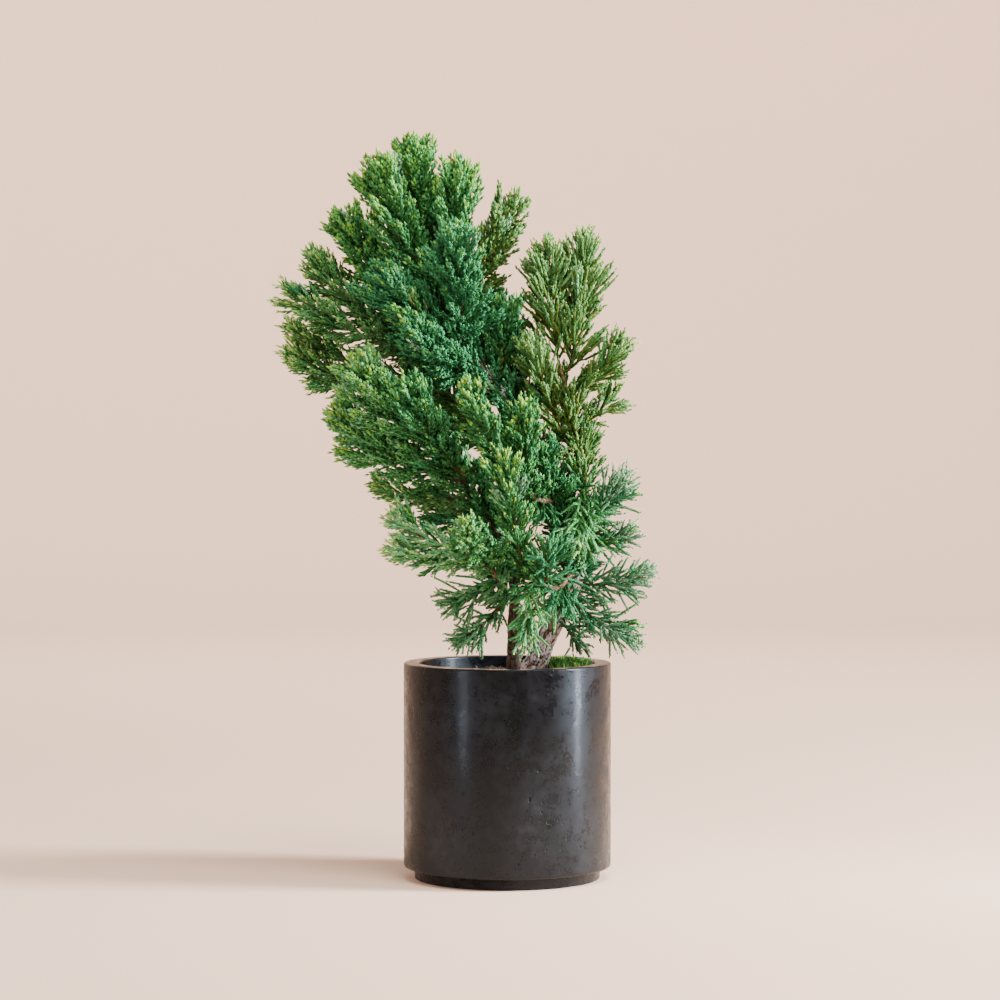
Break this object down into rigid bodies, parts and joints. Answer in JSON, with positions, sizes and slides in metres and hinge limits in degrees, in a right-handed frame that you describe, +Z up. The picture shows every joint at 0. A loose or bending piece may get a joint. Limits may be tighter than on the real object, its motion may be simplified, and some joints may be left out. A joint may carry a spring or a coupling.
{
  "type": "potted juniper",
  "caption": "Young feathery evergreen juniper with leaning stems and upswept plumes of foliage, growing in soil in a straight cylindrical planter with a recessed foot.",
  "frame": {"origin": "middle of the planter's flat underside, which is the level that the part stands on", "axes": "+Z up; +X to the viewer's right; +Y away from the viewer, so the crown leans towards -X"},
  "size_m": [0.3299, 0.2387, 0.6492],
  "materials": {
    "planter": "dark charcoal polished concrete with cloudy patches and small pits",
    "soil": "dark crumbly potting soil",
    "moss": "low green moss",
    "bark": "grey-brown flaking bark with redder wood below",
    "foliage": "scale-leaved sprays, blue-green inside and yellow-green at the tips"
  },
  "bodies": {
    "root": {"pot": "planter", "soil": "soil", "moss": "moss", "trunk": "bark", "left_stem": "bark", "right_bough": "bark", "mid_left_bough": "bark", "high_left_bough": "bark", "front_bough": "bark", "low_left_bough": "bark", "low_front_bough": "bark", "back_bough": "bark", "top_spire": "foliage", "top_right_spire": "foliage", "left_shoulder": "foliage", "left_wing": "foliage", "right_arm": "foliage", "front_cascade": "foliage", "front_left_plume": "foliage", "mid_front_plume": "foliage", "right_low_plume": "foliage", "back_top": "foliage", "back_left": "foliage", "back_upper_right": "foliage", "high_left_plume": "foliage", "high_left_lower": "foliage", "mid_left_plume": "foliage", "mid_left_lower": "foliage", "bright_left_top": "foliage", "bright_left_low": "foliage", "centre_left_plume": "foliage", "under_left": "foliage", "lower_left_plume": "foliage", "facing_tuft": "foliage", "low_left_plume": "foliage", "back_lower_left": "foliage", "bottom_left_spray": "foliage", "drooping_left_spray": "foliage", "bright_front_left": "foliage", "bright_front_right": "foliage", "centre_plume": "foliage", "front_skirt": "foliage", "front_drooping": "foliage", "centre_right_plume": "foliage", "right_plume_left": "foliage", "right_plume_right": "foliage", "right_side_plume": "foliage", "right_side_low": "foliage", "right_inner_plume": "foliage", "right_drooping": "foliage", "right_fan_up": "foliage", "right_fan_side": "foliage", "right_long_spray": "foliage", "right_low_spray": "foliage", "right_foot_spray": "foliage", "back_mid": "foliage", "back_centre": "foliage", "back_low": "foliage", "back_right_low": "foliage"}
  },
  "joints": []
}
